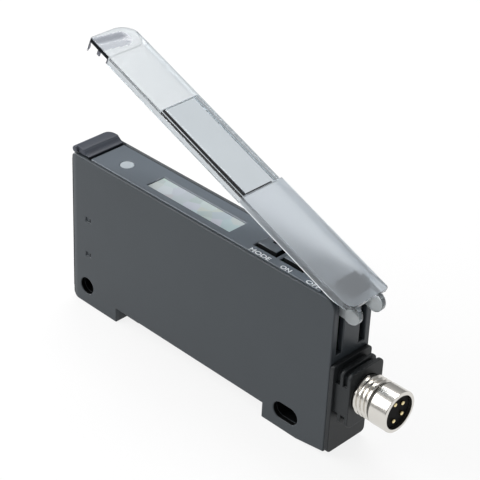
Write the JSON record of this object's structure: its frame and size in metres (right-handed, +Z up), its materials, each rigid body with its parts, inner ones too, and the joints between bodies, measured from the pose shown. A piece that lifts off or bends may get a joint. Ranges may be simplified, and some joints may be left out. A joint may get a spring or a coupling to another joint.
{
  "type": "fibre optic sensor amplifier",
  "caption": "Slim rail-mounted fibre optic sensor amplifier with display, keys, fibre lock lever, hinged clear cover standing open and a round metal plug at one end.",
  "frame": {"origin": "on the plane of the feet, under the middle of the object's length and width", "axes": "+X along the length from the fibre end to the plug, +Y across the width to the back, +Z up"},
  "size_m": [0.0796, 0.01, 0.0588],
  "materials": {
    "housing": "fine moulded satin",
    "panel": "smooth moulded gloss",
    "window": "clear glossy pane",
    "display": "pale liquid crystal cell",
    "lens": "milky diffuser",
    "light": "cast resin",
    "keys": "smooth moulded satin",
    "switches": "stamped sheet",
    "board": "solder mask",
    "chips": "moulded resin",
    "inner_plastic": "moulded satin",
    "optics": "clear cast resin",
    "lever": "moulded satin",
    "pins": "drawn wire",
    "cover": "clear moulded, polished",
    "block": "moulded satin",
    "shell": "turned and nickel plated",
    "seal": "moulded rubber",
    "insert": "moulded satin",
    "contacts": "gold plated",
    "leads": "tinned copper wire"
  },
  "bodies": {
    "housing": {"case": "housing", "side_cover": "housing", "top_panel": "panel", "display_window": "window", "display_module": "display", "indicator_lens": "lens", "indicator_led": "light", "tact_switches": "switches", "panel_board": "board", "main_board": "board", "board_chips": "chips", "fibre_holder": "inner_plastic", "emitter_led": "optics", "receiver_diode": "optics", "lever_pin": "pins", "hinge_pin": "pins", "connector_block": "block", "connector_shell": "shell", "seal_ring": "seal", "connector_insert": "insert", "contact_pins": "contacts", "lead_wires": "leads"},
    "cover": {"clear_cover": "cover"},
    "lever": {"lock_lever": "lever"},
    "clamp": {"fibre_clamp": "inner_plastic"},
    "mode_cap": {"mode_key": "keys"},
    "on_cap": {"on_key": "keys"},
    "off_cap": {"off_key": "keys"}
  },
  "joints": [
    {"name": "cover_hinge", "type": "hinge", "parent": "housing", "child": "cover", "pos_m": [0.02583, 0, 0.0309], "axis": [0, 1, 0], "range_deg": [-21.2, 68]},
    {"name": "lever_pivot", "type": "hinge", "parent": "housing", "child": "lever", "pos_m": [-0.03798, 0, 0.03115], "axis": [0, -1, 0], "range_deg": [0, 70]},
    {"name": "clamp_slide", "type": "slide", "parent": "housing", "child": "clamp", "axis": [0, 0, 1], "range_m": [0, 0.000299]},
    {"name": "mode_press", "type": "slide", "parent": "housing", "child": "mode_cap", "axis": [0, 0, -1], "range_m": [0, 0.00025], "stiffness_N_per_m": 400},
    {"name": "on_press", "type": "slide", "parent": "housing", "child": "on_cap", "axis": [0, 0, -1], "range_m": [0, 0.00025], "stiffness_N_per_m": 400},
    {"name": "off_press", "type": "slide", "parent": "housing", "child": "off_cap", "axis": [0, 0, -1], "range_m": [0, 0.00025], "stiffness_N_per_m": 400}
  ],
  "couplings": [
    {"joint": "lever_pivot", "follows": "clamp_slide", "rad_per_m": 4081.6}
  ]
}
